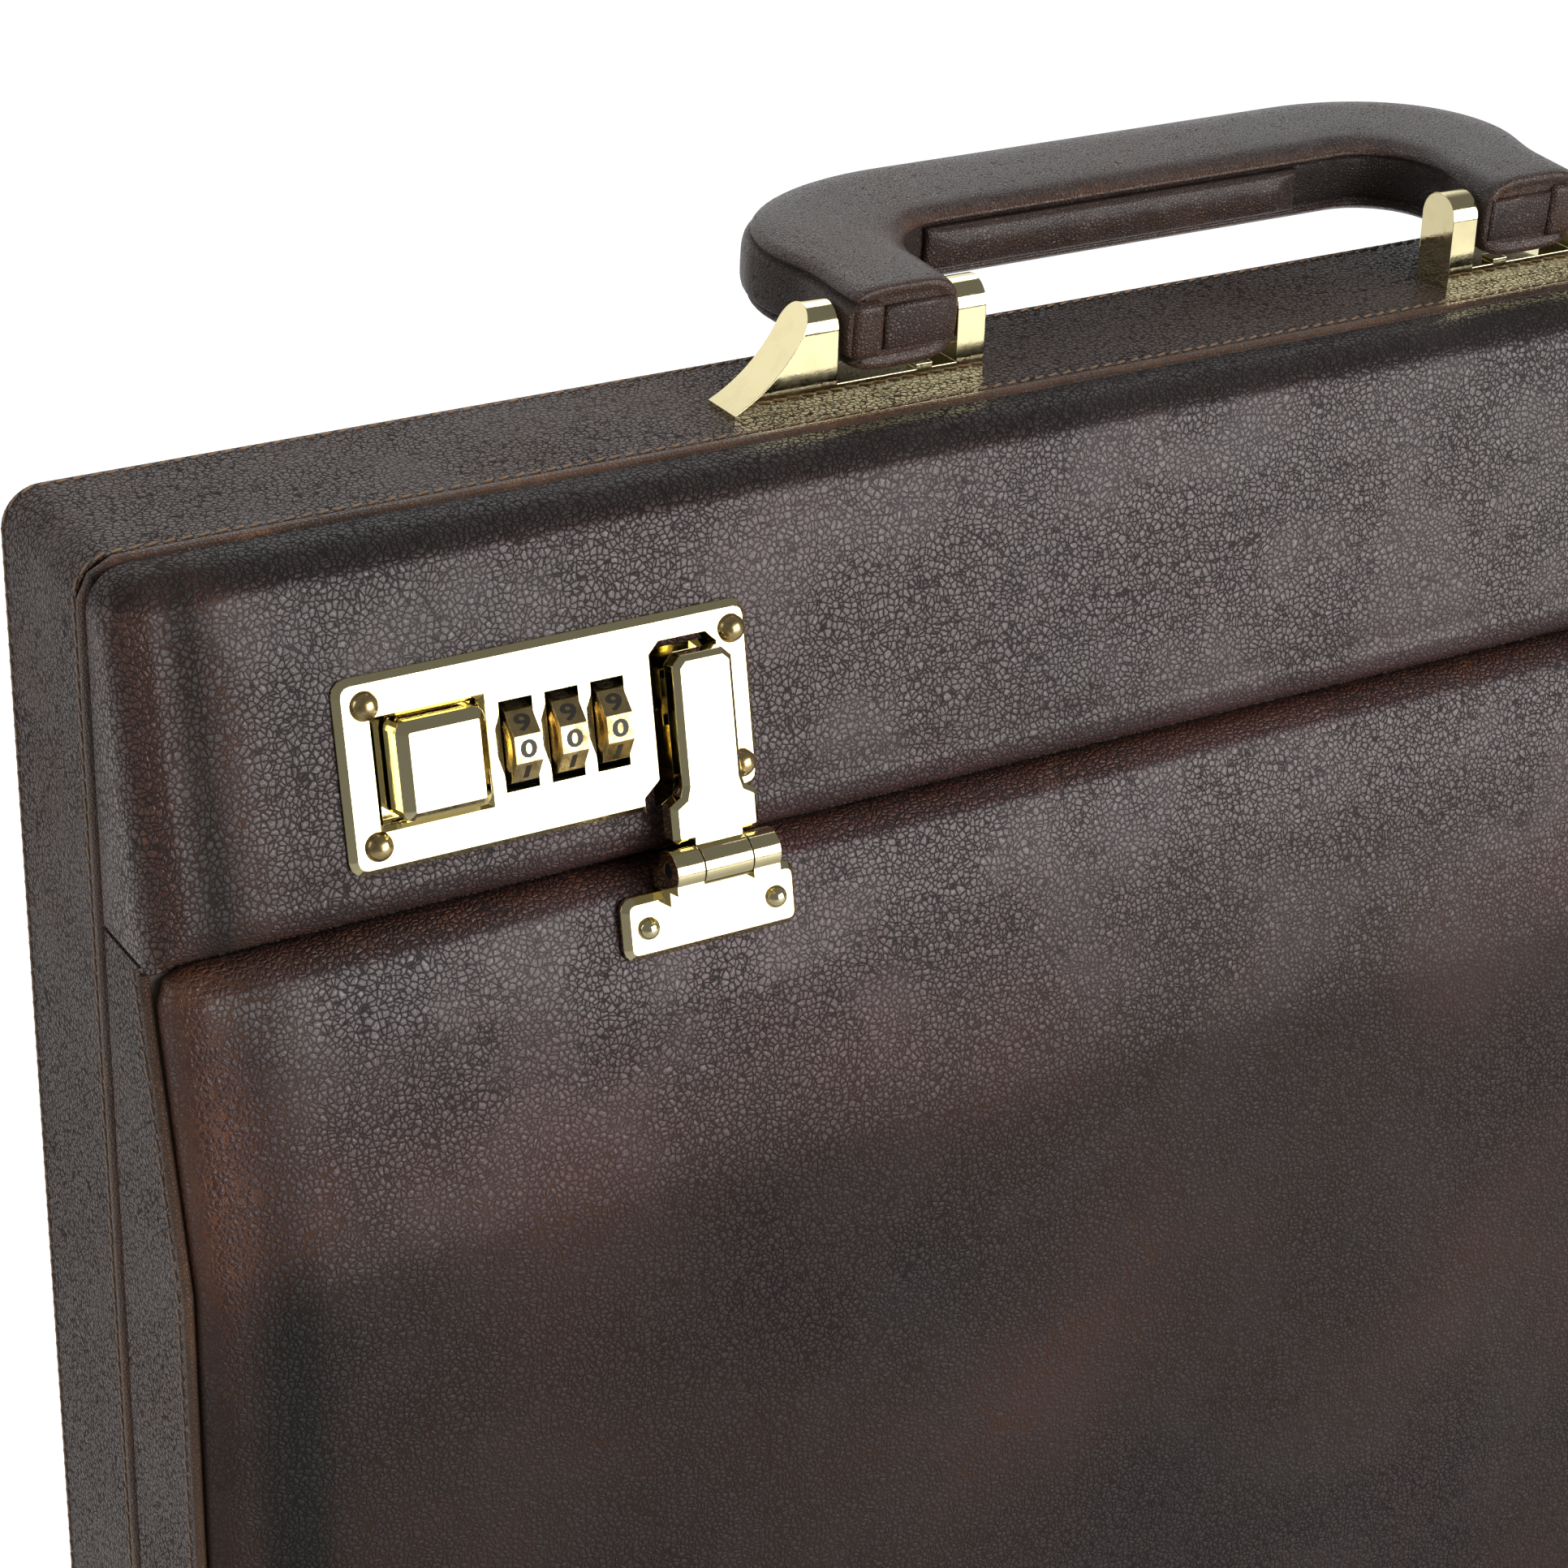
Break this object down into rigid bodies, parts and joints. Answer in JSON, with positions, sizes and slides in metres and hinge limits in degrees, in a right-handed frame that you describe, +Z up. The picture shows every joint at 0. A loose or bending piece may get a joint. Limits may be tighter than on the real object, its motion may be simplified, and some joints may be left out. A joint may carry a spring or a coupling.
{
  "type": "flight bag",
  "caption": "Hard-sided leather flight bag with a drop-front lid, combination locks with hasps, and a swinging top handle; stands on four feet.",
  "frame": {"origin": "on the standing surface, at the middle of the whole bag in X and Y with its handle laid back", "axes": "+Z up, +X to the right as seen from the lock side, -Y towards the lock side (front)"},
  "size_m": [0.461, 0.0994, 0.3627],
  "materials": {
    "front_leather": "pebbled, waxed",
    "band_leather": "pebbled, satin",
    "handle_leather": "worn satin",
    "piping_leather": "satin",
    "shell_board": "raw board",
    "lining_cloth": "woven",
    "polished_brass": "polished",
    "aged_brass": "aged",
    "blued_steel": "brushed",
    "handle_core": "matte",
    "foot_rubber": "matte"
  },
  "bodies": {
    "case": {"back_shell_walls": "shell_board", "back_board": "shell_board", "back_band_leather": "band_leather", "back_leather_pad": "band_leather", "rim_piping": "piping_leather", "back_lining": "lining_cloth", "closing_rail": "aged_brass", "joining_frame": "aged_brass", "lock_panel_leather": "front_leather", "lock_panel_board": "shell_board", "lock_panel_backing": "shell_board", "document_pocket": "lining_cloth", "feet_back": "foot_rubber", "hinge_leaf_back": "blued_steel", "hinge_pin": "blued_steel", "stay_posts_back": "blued_steel", "plate_rivets": "aged_brass", "bracket_screws": "blued_steel", "handle_pins": "blued_steel", "lock_plate_left": "polished_brass", "lock_plate_right": "polished_brass", "lock_housing_left": "blued_steel", "lock_housing_right": "blued_steel", "dial_axle_left": "blued_steel", "dial_axle_right": "blued_steel", "handle_bracket_left": "polished_brass", "handle_bracket_right": "polished_brass"},
    "lid": {"lid_strip_leather": "front_leather", "lid_walls": "shell_board", "lid_front_board": "shell_board", "lid_face_pad": "front_leather", "lid_lining": "lining_cloth", "hinge_leaf_lid": "blued_steel", "feet_lid": "foot_rubber", "hasp_rivets": "polished_brass", "hasp_pins": "polished_brass", "stay_posts_lid": "blued_steel", "hasp_base_left": "polished_brass", "hasp_base_right": "polished_brass"},
    "handle": {"handle_leather": "handle_leather", "handle_core": "handle_core", "handle_strip": "handle_leather"},
    "hasp_left": {"hasp_tongue_left": "polished_brass"},
    "button_left": {"lock_button_left": "polished_brass", "lock_slider_left": "blued_steel"},
    "dial_1_left": {"dial_1_left": "aged_brass"},
    "dial_2_left": {"dial_2_left": "aged_brass"},
    "dial_3_left": {"dial_3_left": "aged_brass"},
    "stay_back_left": {"stay_link_back_left": "blued_steel"},
    "stay_lid_left": {"stay_link_lid_left": "blued_steel"},
    "hasp_right": {"hasp_tongue_right": "polished_brass"},
    "button_right": {"lock_button_right": "polished_brass", "lock_slider_right": "blued_steel"},
    "dial_1_right": {"dial_1_right": "aged_brass"},
    "dial_2_right": {"dial_2_right": "aged_brass"},
    "dial_3_right": {"dial_3_right": "aged_brass"},
    "stay_back_right": {"stay_link_back_right": "blued_steel"},
    "stay_lid_right": {"stay_link_lid_right": "blued_steel"}
  },
  "joints": [
    {"name": "lid_hinge", "type": "hinge", "parent": "case", "child": "lid", "pos_m": [0, -0.0135, 0.0051], "axis": [1, 0, 0], "range_deg": [0, 95]},
    {"name": "handle_hinge", "type": "hinge", "parent": "case", "child": "handle", "pos_m": [0, 0.0006, 0.3514], "axis": [1, 0, 0], "range_deg": [0, 168]},
    {"name": "hasp_left_hinge", "type": "hinge", "parent": "lid", "child": "hasp_left", "pos_m": [-0.1297, -0.0439, 0.2761], "axis": [1, 0, 0], "range_deg": [0, 130]},
    {"name": "button_left_slide", "type": "slide", "parent": "case", "child": "button_left", "axis": [-1, 0, 0], "range_m": [0, 0.0022], "stiffness_N_per_m": 300, "springref_m": -0.003},
    {"name": "dial_1_left_spin", "type": "hinge", "parent": "case", "child": "dial_1_left", "pos_m": [-0.163, -0.0305, 0.30034], "axis": [1, 0, 0], "continuous": true},
    {"name": "dial_2_left_spin", "type": "hinge", "parent": "case", "child": "dial_2_left", "pos_m": [-0.1544, -0.0305, 0.30034], "axis": [1, 0, 0], "continuous": true},
    {"name": "dial_3_left_spin", "type": "hinge", "parent": "case", "child": "dial_3_left", "pos_m": [-0.1458, -0.0305, 0.30034], "axis": [1, 0, 0], "continuous": true},
    {"name": "stay_back_left_pivot", "type": "hinge", "parent": "case", "child": "stay_back_left", "pos_m": [-0.2197, -0.0055, 0.0801], "axis": [1, 0, 0], "range_deg": [0, 95]},
    {"name": "stay_elbow_left", "type": "hinge", "parent": "stay_back_left", "child": "stay_lid_left", "pos_m": [-0.2197, -0.0135, 0.1551], "axis": [1, 0, 0], "range_deg": [-95, 0]},
    {"name": "hasp_right_hinge", "type": "hinge", "parent": "lid", "child": "hasp_right", "pos_m": [0.1297, -0.0439, 0.2761], "axis": [1, 0, 0], "range_deg": [0, 130]},
    {"name": "button_right_slide", "type": "slide", "parent": "case", "child": "button_right", "axis": [1, 0, 0], "range_m": [0, 0.0022], "stiffness_N_per_m": 300, "springref_m": -0.003},
    {"name": "dial_1_right_spin", "type": "hinge", "parent": "case", "child": "dial_1_right", "pos_m": [0.163, -0.0305, 0.30034], "axis": [1, 0, 0], "continuous": true},
    {"name": "dial_2_right_spin", "type": "hinge", "parent": "case", "child": "dial_2_right", "pos_m": [0.1544, -0.0305, 0.30034], "axis": [1, 0, 0], "continuous": true},
    {"name": "dial_3_right_spin", "type": "hinge", "parent": "case", "child": "dial_3_right", "pos_m": [0.1458, -0.0305, 0.30034], "axis": [1, 0, 0], "continuous": true},
    {"name": "stay_back_right_pivot", "type": "hinge", "parent": "case", "child": "stay_back_right", "pos_m": [0.2197, -0.0055, 0.0801], "axis": [1, 0, 0], "range_deg": [0, 95]},
    {"name": "stay_elbow_right", "type": "hinge", "parent": "stay_back_right", "child": "stay_lid_right", "pos_m": [0.2197, -0.0135, 0.1551], "axis": [1, 0, 0], "range_deg": [-95, 0]}
  ],
  "couplings": [
    {"joint": "stay_back_left_pivot", "follows": "lid_hinge", "ratio": 1},
    {"joint": "stay_elbow_left", "follows": "lid_hinge", "ratio": -1},
    {"joint": "stay_back_right_pivot", "follows": "lid_hinge", "ratio": 1},
    {"joint": "stay_elbow_right", "follows": "lid_hinge", "ratio": -1}
  ]
}
